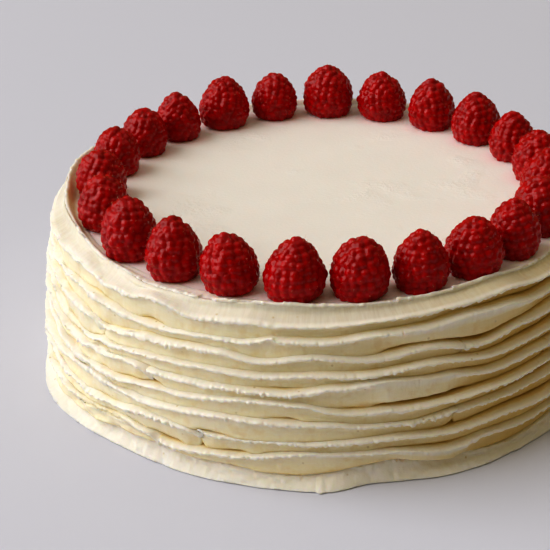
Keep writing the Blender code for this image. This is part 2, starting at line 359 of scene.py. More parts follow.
def painted_hole_shade(tree, coords):
    """1 in the few tiny air holes that the cream's surface has, where their shade is painted, and 0
    elsewhere.
    """
    cells = tree.nodes.new("ShaderNodeTexVoronoi")
    cells.inputs["Scale"].default_value = 260.0
    tree.links.new(coords, cells.inputs["Vector"])
    chosen = map_range(tree, cells.outputs["Color"], 0.73, 0.75)
    return product(tree, chosen, map_range(tree, cells.outputs["Distance"], 0.16, 0.04))


def piped_cream_material():
    """Whipped cream: ivory edges, with painted shade that makes it yellower and darker deeper in the grooves,
    and fine streaks across the rows.
    """
    material, tree = new_material("piped_cream")
    coords = tree.nodes.new("ShaderNodeTexCoord").outputs["Object"]
    ring = attribute(tree, "ring", "Vector")
    stretch = (STREAK_STRETCH, STREAK_STRETCH, 1.0 / STREAK_STRETCH)
    along = add_node(tree, "ShaderNodeMapping", "Vector", Scale=stretch, Vector=ring)
    shade = attribute(tree, "shade")
    patches = noise(tree, coords, 70.0, 3.0)
    streaks = noise(tree, ring, 900.0, 3.0, 0.6)
    layers = noise(tree, along, 1300.0)
    wall = mix_colours(tree, patches, *WALL_CREAM)
    wall = mix_colours(tree, map_range(tree, layers, 0.45, 0.70, 0.5), wall, LAYER_CREAM)
    wall = mix_colours(tree, map_range(tree, noise(tree, coords, 240.0), 0.52, 0.72, 0.6), wall, BLOTCH_CREAM)
    edge = mix_colours(tree, patches, *EDGE_CREAM)
    # painted shade: from the edge's colour to the wall's and then the crevice's, the deeper a point lies in
    # shade
    colour = mix_colours(tree, map_range(tree, shade, 0.0, WALL_SHADE), edge, wall)
    colour = mix_colours(tree, map_range(tree, shade, WALL_SHADE, 1.0), colour, CREVICE_CREAM)
    colour = mix_colours(tree, map_range(tree, streaks, 0.4, 0.8, 0.16), colour, STREAK_TINT, "MULTIPLY")
    # brush marks, with painted shade that dulls and darkens the ramp and the crest's outer face
    dull_and_shaded = mix_colours(tree, map_range(tree, streaks, 0.35, 0.65), *BRUSH_AND_SHADE_TINTS)
    dull_and_shaded = mix_colours(tree, 1.0, colour, dull_and_shaded, "MULTIPLY")
    colour = mix_colours(tree, attribute(tree, "brushed_and_shaded"), colour, dull_and_shaded)
    # painted shade in the tiny air holes
    colour = mix_colours(tree, painted_hole_shade(tree, coords), colour, HOLE_SHADE_CREAM)
    fine = bump(tree, noise(tree, coords, 1400.0), 0.00012, 0.6)
    fine = bump(tree, layers, 0.0002, 0.4, fine)
    fine = bump(tree, streaks, 0.00014, 0.4, fine)
    return finish_material(material, colour, fine, 0.5, 0.3, (0.45, 0.0018, (1.0, 0.75, 0.4)))


def smooth_cream_material():
    """The smoothed top: matte off-white with a faint grain, pinker near the berries and the rim, partly from
    the berries' juice and partly from painted pink light thrown back by them.
    """
    material, tree = new_material("smooth_cream")
    coords = tree.nodes.new("ShaderNodeTexCoord").outputs["Object"]
    plain = mix_colours(tree, noise(tree, coords, 45.0, 4.0), *TOP_CREAM)
    colour = mix_colours(tree, attribute(tree, "juice_and_glow"), plain, JUICE_AND_GLOW_CREAM)
    fine = bump(tree, noise(tree, coords, 900.0, 3.0), 0.0002, 0.4)
    pitted = map_range(tree, noise(tree, coords, 38.0), 0.56, 0.70)
    pits = product(tree, noise(tree, coords, 620.0, 2.0, 0.7), pitted)
    fine = bump(tree, pits, 0.0009, 0.6, fine)
    return finish_material(material, colour, fine, 0.6, 0.3, (0.5, 0.003, (1.0, 0.75, 0.65)))


def raspberry_material():
    """Deep red translucent drupelets with a wet gloss, and pale hairs."""
    material, tree = new_material("raspberry")
    ripeness = attribute(tree, "ripeness")
    hairy = map_range(tree, ripeness, 1.4, 1.6)
    colour = mix_colours(tree, hairy, mix_colours(tree, ripeness, *FLESH), HAIR)
    return finish_material(material, colour, None, 0.16, 0.28, (0.8, 0.0016, (1.0, 0.10, 0.07)))


# ================ piped cream
# Cross-section of a piped row: mm in from its edge, mm up from it, share of the edge's tears, how deep in
# painted shade. A row is a thin blade that stands out from the wall of cream below it.
THIN_SECTION = (
    (6.0, 1.1, 0.0, 1.0), (3.4, 0.7, 0.1, 0.8), (2.6, 0.48, 0.1, 0.3), (1.8, 0.34, 0.15, 0.1),
    (1.1, 0.24, 0.4, 0.02), (0.5, 0.1, 0.8, 0.0), (0.12, -0.12, 1.0, 0.0), (0.0, -0.42, 1.0, 0.0),
    (0.05, -0.78, 1.0, 0.0), (0.22, -1.05, 1.0, 0.08), (0.65, -1.24, 0.8, 0.3), (1.3, -1.44, 0.4, 0.34),
    (1.85, -1.85, 0.2, 0.4), (2.15, -2.6, 0.1, 0.46), (2.25, -3.5, 0.0, 0.5), (2.15, -4.4, 0.0, 0.54),
    (1.9, -5.1, 0.0, 0.55), (1.5, -5.75, 0.0, 0.6), (1.6, -6.2, 0.0, 0.9), (6.0, -7.2, 0.0, 1.0),
)
WALL_START = 11  # the section's first point that belongs to the wall
FRAYED_POINTS = ((8, 0.7), (9, 1.0), (10, 0.6))  # how far the blade's lower corner frays
# In places the blade has sagged against the wall: a broad pale face, with a slot under it
BROAD_SECTION = THIN_SECTION[:9] + (
    (0.24, -1.35, 0.5, 0.12), (0.38, -1.95, 0.2, 0.24), (0.42, -2.6, 0.0, 0.3), (0.4, -3.3, 0.0, 0.34),
    (0.36, -4.0, 0.0, 0.38), (0.42, -4.6, 0.0, 0.42), (0.85, -5.0, 0.0, 0.55), (1.7, -5.3, 0.0, 0.8),
    (2.8, -5.7, 0.0, 1.0), (3.9, -6.5, 0.0, 1.0), (6.0, -7.2, 0.0, 1.0),
)
SMEAR = (-42, 32)  # azimuth and half-width of a bright smear of cream over the ramp
SMEAR_BULGE = 1.5  # mm that it stands out
FLAP = (-103, 38)  # azimuth and half-width of a flap of cream that stands up from the crest
FLAP_RISE = 5.0  # mm that it stands up
FLAP_LEAN = 1.6  # mm that it leans out
TAN_SHADE_SIDE = (-85, 32)  # the stretch where painted shade makes the crest's inner face tan
INNER_TAN_SHADE = (0.0, 0.0, 0.3, 0.7, 0.8, 0.8, 0.4, 0.0)  # how much deeper in painted shade each of its points is there
BLADE_FOOT = -1.3  # mm up from the edge: the points above this are the blade's, the rest are the wall's
# The top row runs up into the crest as a hollow ramp. Its heights are shares of the way up to the crest
RAMP = (
    (6.9, 0.97, 0.0, 0.1), (6.2, 0.93, 0.0, 0.1), (6.05, 0.76, 0.0, 0.12), (5.9, 0.6, 0.0, 0.12),
    (5.55, 0.47, 0.0, 0.1), (4.9, 0.38, 0.0, 0.08), (3.7, 0.28, 0.0, 0.06), (2.1, 0.16, 0.1, 0.03),
)
TOP_SECTION = RAMP + THIN_SECTION[4:]
FOOT_SECTION = THIN_SECTION[:8]
FOOT_SPIKE = (-1, 1.1)  # azimuth and half-width of a small spike of cream at the foot
# The foot's face under the lowest row: share of the way down, mm out from a straight slope
FOOT_FACE = (
    (0.06, 0.1), (0.16, 0.15), (0.28, 0.0), (0.42, -0.1), (0.56, -0.1), (0.7, 0.0), (0.83, 0.15),
    (0.93, 0.25),
)
# Where the broad section is used: (row, azimuth, half-width in degrees)
BROAD_SPOTS = (
    (1, 31, 26), (4, 17, 13), (8, 20, 12), (2, 112, 25), (5, 150, 30), (3, 200, 22), (6, 245, 30),
)
# Dark slots at the foot of a row's wall: (row, azimuth, half-width in degrees, depth; 1 may be left out)
SLOTS = (
    (0, -36, 5, 1.7), (1, -28, 7, 1.3), (1, 15.5, 6), (1, 34, 8), (3, -9, 6), (3, 31, 7), (4, 4, 4),
    (4, -33.5, 2.5, 2.0), (5, -7.5, 4), (6, -48, 6), (6, -21, 5), (7, -31, 5, 1.8), (7, -18, 5, 1.4),
    (7, -7, 6), (7, 22, 8), (8, -20, 8),
)
WALL_POINTS = ((16, 0.2), (17, 1.3), (18, 2.4))  # which points a slot pushes in
SLOT_DEPTH = 1.4
ROUGH_SIDE = (-60, 44)  # azimuth and half-width of the stretch where the rows are roughest
RUMPLE = 0.75 * MM  # how far the rows are pushed about there
DARK_SIDE = (52, 55)  # the stretch where the grooves are deepest and painted shade makes the cream in them yellowest
DARK_DEPTH = 0.62  # how much deeper the grooves are there
DARK_SHADE = 0.55  # how much deeper in painted shade the walls are there
RAMP_SHADE = 0.4  # and the ramp
LIGHT_SIDE = (-50, 55)  # the stretch where they are shallowest, and where less painted shade makes them palest
LIGHT_DEPTH = 0.3  # how much shallower they are there
LIGHT_SHADE = 0.09  # and how much less painted shade the walls have there
THICKNESS = 0.93  # of a blade, as a share of its thickness in the section
BLADE_MIDDLE = (0.9, -0.3)  # mm in and up: what a blade shrinks towards at a strip's end
WALL_MIDDLE = (4.0, -3.0)  # and what a wall does
BLUNT_LENGTH = 1.1  # degrees over which a blunt end's blade rounds off
BLUNT_WALL = 3.2  # degrees over which its wall does
CURL_LENGTH = 1.8  # degrees over which it curls up
TAPER_LENGTH = 0.8  # degrees over which the end behind narrows to nothing
FADE_LENGTH = 4.0  # degrees over which the end behind grows out
FADE_DEPTH = 1.8 * MM  # how far behind a strong front end it starts
DROOP = 4.5 * MM  # how far its tip hangs down
DROOP_LENGTH = 1.8  # degrees over which it does
OVERLAP = 0.8  # degrees that the end behind runs on under the one in front


def bump_at(azimuth, centre, width):
    """1 at centre, dying away over width degrees to either side."""
    return smooth_step(1.0 - np.abs(turn_from(azimuth, centre)) / width)


def crest_height(azimuth):
    return CREST_HEIGHT + wander(azimuth, CREST_WANDER) + FLAP_RISE * MM * bump_at(azimuth, *FLAP)


def edge_notches(azimuth, seed, count, width):
    """Torn notches in a row's edge, from 0 to about 1, in clusters at seeded places."""
    rng = np.random.default_rng(seed)
    clusters = rng.uniform(0.0, 360.0, max(4, count // 8))
    total = np.zeros_like(azimuth)
    for _ in range(count):
        centre = clusters[rng.integers(len(clusters))] + rng.normal(0.0, 12.0)
        reach = rng.uniform(0.6, 1.5) * width
        total += rng.uniform(0.2, 1.0) ** 1.5 * np.exp(-((turn_from(azimuth, centre) / reach) ** 2))
    return np.clip(total, 0.0, 1.3)


def sum_at(table, row, azimuth):
    """The sum of a table's bumps (row, azimuth, half-width, height) on one row; height 1 may be left out."""
    total = np.zeros_like(azimuth)
    for spot, centre, width, *height in table:
        if spot == row:
            total += bump_at(azimuth, centre, width) * (height[0] if height else 1.0)
    return total


def edge_unevenness(azimuth, seed, ragged):
    """How far a row's edge is torn back, lifts, and frays along its lower corner, in metres."""
    rough = 0.75 + 0.4 * ring_noise(azimuth, 23, seed)
    rough = rough + 0.5 * bump_at(azimuth, *ROUGH_SIDE) + ragged
    teeth = 0.6 * ring_noise(azimuth, 350, seed + 1) + 0.8 * ring_noise(azimuth, 760, seed + 2)
    back = 0.38 * edge_notches(azimuth, seed + 3, 130, 0.2) + 0.28 * rough * teeth
    lift = 0.30 * ring_noise(azimuth, 46, seed + 4) + 0.20 * rough * ring_noise(azimuth, 130, seed + 5)
    lift += 0.16 * rough * ring_noise(azimuth, 620, seed + 6)
    sharp = 1.0 - 2.0 * np.abs(ring_noise(azimuth, 480, seed + 7)) ** 0.7
    fray = 0.42 * rough * (sharp + 0.6 * ring_noise(azimuth, 900, seed + 8))
    return back * MM, lift * MM, fray * MM


def edge_cusps(row, azimuth):
    """How far the edge rises in its few cusps, in metres."""
    total = np.zeros_like(azimuth)
    for _, centre, rise, width in (cusp for cusp in CUSPS if cusp[0] == row):
        before = turn_from(centre, azimuth) * np.sign(width)
        total += rise * np.exp(-np.abs(before) / np.where(before > 0.0, abs(width), 0.4 * abs(width)))
    return total * MM


def arcs_of(row):
    """The strips that a row is made of: start and end in degrees, and for each end (kind, strength, curl)."""
    joins = sorted(join[1:] for join in JOINS if join[0] == row)
    if not joins:
        return [(0.0, 360.0, None, None)]
    arcs = []
    for index, (start, start_side, start_strength, start_curl) in enumerate(joins):
        end, end_side, end_strength, end_curl = joins[(index + 1) % len(joins)]
        if end <= start:
            end += 360.0
        arcs.append((
            start if start_side > 0 else start - OVERLAP,
            end if end_side < 0 else end + OVERLAP,
            ("blunt" if start_side > 0 else "fade", start_strength, start_curl),
            ("blunt" if end_side < 0 else "fade", end_strength, end_curl),
        ))
    return arcs


def rounding(inward, length):
    """From 0 at a strip's end up to 1 at the given length from it, along a quarter circle."""
    return np.sqrt(1.0 - (1.0 - np.clip(inward / length, 0.0, 1.0)) ** 2)


def end_shape(inward, kind, strength, curl):
    """How blade and wall shrink, draw back and curl up near a strip's end, by degrees inward from it."""
    if kind == "blunt":
        curled = curl * MM * np.exp(-((inward / CURL_LENGTH) ** 2))
        return rounding(inward, BLUNT_LENGTH), rounding(inward, BLUNT_WALL), 0.0 * inward, curled
    size = np.clip(inward / TAPER_LENGTH, 0.0, 1.0)
    fading = 1.0 - smooth_step(inward / FADE_LENGTH)
    drooping = -strength * DROOP * np.exp(-((inward / DROOP_LENGTH) ** 2))
    return size, size, strength * FADE_DEPTH * fading, drooping


def strip_azimuths(start=None, end=None):
    """Where a strip's sections lie, from start to end, or all the way round."""
    front = np.arange(-FRONT_HALF, FRONT_HALF, FRONT_STEP)
    grid = np.concatenate([front, np.arange(FRONT_HALF, 360.0 - FRONT_HALF, BACK_STEP)])
    if start is None:
        return grid
    grid = np.concatenate([grid - 360.0, grid, grid + 360.0])
    return np.concatenate([[start], grid[(grid > start + LEAST_STEP) & (grid < end - LEAST_STEP)], [end]])


def strip_section(row, azimuth):
    """The cross-section at every azimuth, as an array of (section, point, value)."""
    thin = np.array({0: TOP_SECTION, ROWS - 1: FOOT_SECTION}.get(row, THIN_SECTION))
    section = np.broadcast_to(thin, (len(azimuth), *thin.shape)).copy()
    if 0 < row < ROWS - 1:
        broad = np.array(BROAD_SECTION) - thin
        share = sum_at(BROAD_SPOTS, row, azimuth)
        share = np.clip(1.6 * share + 0.25 * ring_noise(azimuth, 17, SEED + 600 + row) - 0.1, 0.0, 1.0)
        section += share[:, None, None] * broad
    if row < ROWS - 1:
        ragged = 0.8 + 0.5 * ring_noise(azimuth, 130, SEED + 620 + row)
        deep = ragged * sum_at(SLOTS, row, azimuth) + 0.8 * bump_at(azimuth, *DARK_SIDE)
        deep = deep + np.clip(0.9 * ring_noise(azimuth, 26, SEED + 640 + row) - 0.35, 0.0, 1.0)
        shift = section.shape[1] - len(THIN_SECTION)
        # painted shade: the walls, and the top row's ramp, are yellower and darker on the side away from the
        # window and paler on the side towards it
        side_shade = DARK_SHADE * bump_at(azimuth, *DARK_SIDE) - LIGHT_SHADE * bump_at(azimuth, *LIGHT_SIDE)
        section[:, shift + WALL_START:, 3] += side_shade[:, None]
        if row == 0:
            section[:, :len(RAMP), 3] += RAMP_SHADE * bump_at(azimuth, *DARK_SIDE)[:, None]
        # a slot pushes the wall's lower points in, and painted shade darkens them
        for point, share in WALL_POINTS:
            section[:, point + shift, 0] += SLOT_DEPTH * share * deep
            section[:, point + shift, 3] += 0.5 * share * deep
    return section


def wall_stretch(row, azimuth):
    """How much taller than usual the wall under a row is, so that it always meets the row below."""
    if row == ROWS - 1:
        return np.ones_like(azimuth)
    pitch = row_height(row, azimuth) - row_height(row + 1, azimuth)
    return (pitch + BLADE_FOOT * MM) / (ROW_PITCH + BLADE_FOOT * MM)


def climb_to_crest(azimuth, height, climbed, depth, up):
    """Runs the top row's ramp up to the crest, in depth and up, with the smear on it and the flap's lean."""
    climb = (crest_height(azimuth) - height) / MM
    swollen = np.sin(np.pi * np.linspace(0.0, 1.0, len(RAMP)))[None, :] * bump_at(azimuth, *SMEAR)[:, None]
    up[:, :len(RAMP)] = climbed * climb[:, None]
    depth[:, :len(RAMP)] -= SMEAR_BULGE * swollen
    depth[:, :len(RAMP)] -= FLAP_LEAN * bump_at(azimuth, *FLAP)[:, None] * np.clip(2.0 * climbed, 0.0, 1.0)


def make_strip(name, row, arc, material):
    """One piped strip of a row, with its own torn edge and its two ends."""
    start, end, start_end, end_end = arc
    closed = start_end is None
    azimuth = strip_azimuths() if closed else strip_azimuths(start, end)
    radius = row_radius(row, azimuth)
    height = row_height(row, azimuth)
    seed = SEED + 1000 + 40 * row
    back, lift, fray = edge_unevenness(azimuth, seed, sum_at(RAGGED, row, azimuth))
    reach = 1.0 + 0.25 * ring_noise(azimuth, 19, SEED + 560 + row) + DARK_DEPTH * bump_at(azimuth, *DARK_SIDE)
    reach = reach - LIGHT_DEPTH * bump_at(azimuth, *LIGHT_SIDE)
    rumpled = bump_at(azimuth, *ROUGH_SIDE)
    thickness = THICKNESS + 0.25 * ring_noise(azimuth, 30, SEED + 500 + row)
    thickness = thickness + 0.3 * rumpled * ring_noise(azimuth, 70, seed + 20)
    blade_size, wall_size = np.ones_like(azimuth), np.ones_like(azimuth)
    lift = lift + edge_cusps(row, azimuth)
    if not closed:
        for inward, end_kind in ((azimuth - start, start_end), (end - azimuth, end_end)):
            blade_end, wall_end, end_back, end_curl = end_shape(inward, *end_kind)
            blade_size, wall_size = blade_size * blade_end, wall_size * wall_end
            radius = radius - end_back
            lift = lift + end_curl
    section = strip_section(row, azimuth)
    depth, up, tear, shade = (section[:, :, k] for k in range(4))
    blade = up > BLADE_FOOT
    depth = depth * np.where(blade, 1.0, reach[:, None])
    wall_up = BLADE_FOOT * thickness[:, None] + (up - BLADE_FOOT) * wall_stretch(row, azimuth)[:, None]
    up = np.where(blade, up * thickness[:, None], wall_up)
    if row == 0:
        back = 0.5 * back
        climb_to_crest(azimuth, height, section[:, :len(RAMP), 1], depth, up)
    size = np.where(blade, blade_size[:, None], wall_size[:, None])
    middles = [np.where(blade, *pair) for pair in zip(BLADE_MIDDLE, WALL_MIDDLE)]
    depth, up = (middle + (value - middle) * size for value, middle in zip((depth, up), middles))
    sunk = sum_at(SUNK, row, azimuth)
    r = radius[:, None] - depth * MM - tear * back[:, None] - np.where(blade, sunk[:, None] * MM, 0.0)
    z = height[:, None] + up * MM + tear * lift[:, None]
    # painted shade on a blade that has sunk back
    shade = shade + np.where(blade, 0.3 * sunk[:, None], 0.0)
    for k in range(r.shape[1]):
        r[:, k] += RUMPLE * rumpled * ring_noise(azimuth, 90, seed + 21 + k // 4)
        z[:, k] += 0.7 * RUMPLE * rumpled * ring_noise(azimuth, 120, seed + 31 + k // 4)
    if row < ROWS - 1:
        for point, share in FRAYED_POINTS:
            z[:, point - len(THIN_SECTION)] += share * fray
    else:
        r, z, shade = add_foot(azimuth, radius, height - 0.42 * MM, r, z, shade)
    return finish_strip(name, azimuth, r, z, shade, closed, material, range(len(RAMP)) if row == 0 else ())


def finish_strip(name, azimuth, r, z, shade, closed, material, brushed_and_shaded):
    """The strip's mesh, slightly uneven all over, with the numbers that its material reads."""
    seed = sum(ord(letter) for letter in name)
    for k in range(r.shape[1]):
        rough = (0.07 + 0.10 * np.clip(shade[:, k], 0.0, 0.6)) * MM
        r[:, k] += rough * ring_noise(azimuth, 390, seed * 31 + k)
        z[:, k] += 0.06 * MM * ring_noise(azimuth, 210, seed * 17 + k)
    z = np.maximum(z, 0.0)
    # how much brush marks and painted shade dull the ramp and the crest's outer face, least on the smear
    brush_and_shade = 0.85 + 0.25 * ring_noise(azimuth, 34, SEED + 700) - 0.75 * bump_at(azimuth, *SMEAR)
    steps = np.hypot(np.diff(r, axis=1), np.diff(z, axis=1))
    along = np.concatenate([np.zeros((len(azimuth), 1)), np.cumsum(steps, axis=1)], 1)
    numbers = {
        "shade": np.clip(shade, 0.0, 1.0).ravel(),
        "ring": ring_points(azimuth, np.full_like(r, WIDEST_RADIUS), STREAK_STRETCH * along),
        "brushed_and_shaded": (brush_and_shade[:, None] * np.isin(np.arange(r.shape[1]), brushed_and_shaded)).ravel(),
    }
    faces = loft_faces(len(azimuth), r.shape[1], closed)
    piece = mesh_object(name, ring_points(azimuth, r, z), faces, numbers)
    tidy_normals(piece)
    return finish_piece(piece, material, "piped_cream")


def add_foot(azimuth, edge_radius, low, r, z, shade):
    """Below its edge the lowest row goes down into a rough foot with an uneven rim."""
    foot = FOOT_RADIUS + wander(azimuth, FOOT_WANDER) + seeded_waves(azimuth, SEED + 200, FOOT_WAVE)
    foot += 0.9 * MM * bump_at(azimuth, *FOOT_SPIKE) + 0.3 * MM * ring_noise(azimuth, 90, SEED + 210)
    columns = []
    for k, (share, out) in enumerate(FOOT_FACE):
        slope = edge_radius + (foot - edge_radius) * share**1.3
        bulge = out + 0.3 * math.sin(math.pi * share) * ring_noise(azimuth, 60, SEED + 220)
        rough = 0.28 * ring_noise(azimuth, 430, SEED + 230 + k)
        rough = rough + 0.32 * ring_noise(azimuth, 170, SEED + 250 + k // 2)
        columns.append((slope + (bulge + rough) * MM, low * (1.0 - share), 0.0))
    # under the foot's rim the underside is painted more and more in shade
    columns += [(foot, 0.25 * MM, 0.05), (foot - 0.4 * MM, 0.0, 0.3), (FOOT_INNER, 0.0, 1.0)]
    return tuple(np.concatenate([old, np.stack([column[k] + 0.0 * foot for column in columns], 1)], 1)
                 for k, old in enumerate((r, z, shade)))


def tidy_normals(piece):
    """Turns all faces outwards."""
    bm = bmesh.new()
    bm.from_mesh(piece.data)
    bmesh.ops.recalc_face_normals(bm, faces=bm.faces)
    bm.to_mesh(piece.data)
    bm.free()


# The crest's cross-section. Inside, from the smooth top to the edge: mm out from the crest, share of its
# height over the top, share of the edge's tears, how deep in painted shade
CREST_INSIDE = (
    (-6.4, -0.5, 0.0, 0.1), (-5.4, 0.0, 0.0, 0.0), (-4.2, 0.05, 0.1, 0.0), (-3.1, 0.12, 0.1, 0.0),
    (-2.5, 0.38, 0.2, 0.0), (-1.7, 0.76, 0.5, 0.0), (-1.0, 0.96, 0.8, 0.0), (-0.4, 1.0, 1.0, 0.0),
)
# Outside, from the edge down: mm out from the crest, mm up from it, then as above
CREST_OUTSIDE = (
    (0.04, -0.1, 1.0, 0.0), (0.13, -0.35, 0.8, 0.03), (0.16, -0.8, 0.3, 0.08), (-0.2, -1.5, 0.0, 0.3),
    (-0.4, -7.0, 0.0, 1.0), (-5.0, -8.0, 0.0, 1.0),
)
LEAST_CREST = 0.25 * MM  # how far the crest at least stands over the smooth top
TORN_CREST = (-22, 16)  # azimuth and half-width of the stretch where the crest is torn most
CREST_STEPS = ((14.5, 1.0), (26.5, 0.8), (-8, 0.4), (95, 0.9), (170, 0.8), (236, 0.9))  # azimuth, mm


def make_crest(material):
    """The torn ring of cream round the smooth top."""
    azimuth = strip_azimuths()
    crest = crest_height(azimuth)
    radius = CREST_RADIUS + FLAP_LEAN * MM * bump_at(azimuth, *FLAP)
    radius = radius + 0.25 * MM * ring_noise(azimuth, 40, SEED + 300)
    torn = 0.35 + bump_at(azimuth, *TORN_CREST)
    lift = 0.25 * ring_noise(azimuth, 46, SEED + 310) + 0.45 * torn * ring_noise(azimuth, 150, SEED + 311)
    lift += 0.5 * torn * ring_noise(azimuth, 400, SEED + 320)
    crumbs = torn * np.clip(2.0 * ring_noise(azimuth, 330, SEED + 321) - 0.2, 0.0, 1.2)
    lift = (lift + 0.8 * crumbs) * MM
    for place, step in CREST_STEPS:
        past = turn_from(azimuth, place)
        lift += step * MM * np.where(past > 0.0, np.exp(-past / 4.0), -0.5 * np.exp(-((past / 1.2) ** 2)))
    over = np.maximum(crest - TOP_HEIGHT, LEAST_CREST)
    inside = [TOP_HEIGHT + 0.05 * MM + share * over for _, share, _, _ in CREST_INSIDE]
    outside = [crest + up * MM for _, up, _, _ in CREST_OUTSIDE]
    section = np.array(CREST_INSIDE + CREST_OUTSIDE)
    tear = section[:, 2][None, :]
    r = radius[:, None] + section[:, 0][None, :] * MM + 0.8 * MM * tear * (crumbs - 0.3)[:, None]
    z = np.stack(inside + outside, 1) + tear * 0.8 * lift[:, None]
    shade = np.tile(section[:, 3], (len(azimuth), 1))
    # painted shade that makes the crest's inner face tan on the left
    shade[:, :len(CREST_INSIDE)] += bump_at(azimuth, *TAN_SHADE_SIDE)[:, None] * np.array(INNER_TAN_SHADE)
    brushed_and_shaded = range(len(CREST_INSIDE) + 2, len(section))
    return finish_strip("cream_crest", azimuth, r, z, shade, True, material, brushed_and_shaded)


def make_core(material):
    """The layer of cream under the piped rows, which closes the bottom of every groove."""
    sides = 240
    azimuth = np.linspace(0.0, 360.0, sides, endpoint=False)
    heights = np.linspace(0.6 * MM, CORE_TOP, 24)
    lean = np.sin(0.5 * math.pi * (1.0 - heights / ROW_TOP))
    radii = TOP_ROW_RADIUS + (WIDEST_RADIUS - TOP_ROW_RADIUS) * lean - CORE_DEPTH
    r = np.concatenate([np.tile(radii, (sides, 1)), np.full((sides, 2), TOP_RADIUS + 0.2 * MM)], 1)
    z = np.concatenate([np.tile(heights, (sides, 1)), np.tile((heights[-1], heights[0]), (sides, 1))], 1)
    # painted in full shade, as at the bottom of a groove
    piece = mesh_object("cream_core", ring_points(azimuth, r, z), loft_faces(sides, r.shape[1], True),
                        {"shade": np.ones(r.size)})
    tidy_normals(piece)
    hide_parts("ruffled_cream")
    return finish_piece(piece, material, "piped_cream")


def make_piping(material):
    make_core(material)
    make_crest(material)
    for row in range(ROWS):
        for index, arc in enumerate(arcs_of(row)):
            make_strip(f"cream_row_{row:02d}_{index + 1}", row, arc, material)


# ================ the smooth top
SPATULA_MARKS = 26  # long faint marks on it
# The cream is pinker near the berries and all round the rim: partly their juice, partly painted pink light
# thrown back by them
PINK_START = 0.0085  # how far round a berry's middle the cream is pinkest
PINK_FADE = 0.0075  # how far beyond that it is still a little pink
RIM_START = 0.080  # radius from which the cream is a little pinker all round
RIM_FADE = 0.012


def make_top(material):
    """The cake itself: a smoothed top on a plain drum, which the piping hides."""
    azimuth = np.linspace(0.0, 360.0, TOP_STEPS, endpoint=False)
    radius = np.linspace(0.0, TOP_RADIUS + 0.8 * MM, TOP_RINGS + 1)[1:]
    turn = np.radians(azimuth)[:, None]
    x = radius[None, :] * np.sin(turn)
    y = -radius[None, :] * np.cos(turn)
    z = np.full_like(x, TOP_HEIGHT)
    rng = np.random.default_rng(SEED + 400)
    for _ in range(SPATULA_MARKS):
        angle, place = rng.uniform(0.0, math.pi), rng.uniform(-0.085, 0.085)
        across = x * math.cos(angle) + y * math.sin(angle) - place
        along = -x * math.sin(angle) + y * math.cos(angle) - rng.uniform(-0.06, 0.06)
        depth = rng.uniform(-0.07, 0.07) * MM
        z += depth * np.exp(-((across / rng.uniform(0.004, 0.014)) ** 2) - (along / 0.04) ** 2)
    turns = np.radians([berry[0] for berry in BERRIES])
    distances = MM * np.array([berry[1] for berry in BERRIES])
    gaps = np.hypot(x[..., None] - distances * np.sin(turns), y[..., None] + distances * np.cos(turns))
    # painted pink light from the berries, mixed with their juice, strongest near them and a little all round
    # the rim
    juice_and_glow = 1.0 - smooth_step((np.min(gaps, axis=-1) - PINK_START) / PINK_FADE)
    rim = smooth_step((radius - RIM_START) / RIM_FADE)[None, :]
    juice_and_glow = np.clip(0.75 * juice_and_glow + 0.35 * rim, 0.0, 1.0)
    points = np.stack([x, y, z], -1).reshape(-1, 3)
    count = len(points)
    bottom_ring = points[TOP_RINGS - 1::TOP_RINGS] * (1.0, 1.0, 0.0)
    points = np.concatenate([points, [(0.0, 0.0, TOP_HEIGHT)], bottom_ring])
    faces = []
    for s in range(TOP_STEPS):
        here, beyond = s * TOP_RINGS, ((s + 1) % TOP_STEPS) * TOP_RINGS
        faces.append((count, here, beyond))
        for k in range(TOP_RINGS - 1):
            faces.append((here + k, here + k + 1, beyond + k + 1, beyond + k))
        low, low_beyond = count + 1 + s, count + 1 + (s + 1) % TOP_STEPS
        faces.append((here + TOP_RINGS - 1, low, low_beyond, beyond + TOP_RINGS - 1))
    faces.append(tuple(range(count + TOP_STEPS, count, -1)))
    shades = np.concatenate([juice_and_glow.ravel(), [0.0], np.zeros(TOP_STEPS)])
    piece = mesh_object("smooth_top", points, faces, {"juice_and_glow": shades})
    tidy_normals(piece)
    piece.data.set_sharp_from_angle(angle=math.radians(50.0))
    return finish_piece(piece, material, "smooth_cream", "cake")


# ================ the raspberries
DRUPELET = 2.9 * MM  # across
BULGE = 1.0 * MM  # how far a drupelet stands out
WAIST = 0.33  # height of the widest part, as a share of the berry's height
OPEN_END = 0.82  # radius of the open end, as a share of the widest
RING_PITCH = 0.88  # from one ring of drupelets to the next, as a share of a drupelet
JITTER = 0.32 * MM  # how far a drupelet may sit from its place
RING_TILT = 0.35 * DRUPELET  # how far a ring of drupelets may tilt out of level
SINK = 0.7 * MM  # how deep a berry sits in the cream
SIZES_VARY = 0.085  # how much the drupelets' sizes vary, as a share
SPREAD = 0.585 * DRUPELET  # radius of a drupelet's dome
DOME_HEIGHT = 1.45  # its height in mm
DEPTH = (0.38, 0.06)  # mm that its middle lies under the outline: the mean, and how much it varies
CAP_SIDES = 10
CAP_LEVELS = (0.16, 0.42, 0.68, 0.9)  # rings of a drupelet's dome, as shares of a quarter turn from its tip
HAIRS = 60  # fine hairs on a berry
HAIR_WIDTH = 0.05 * MM
SKIN_VOXEL = 0.34 * MM  # how fine a berry's skin is made
SKIN_SOFTENING = 2  # how many times it is smoothed
SKIN_TRIANGLES = 16500  # what it is thinned out to
# How round a berry's upper part is: 1.3 is nearly a cone, 2.4 a dome; the others are between
DOMES = {0: 1.35, 1: 2.3, 22: 1.9, 21: 1.5, 20: 1.9, 2: 1.5, 3: 1.9, 4: 2.0}
# How many mm a berry's tip leans anticlockwise, seen from above; the others lean a little either way
LEANS = {0: 0.9, 1: 0.6, 22: -1.6, 21: -0.6, 2: 0.4}


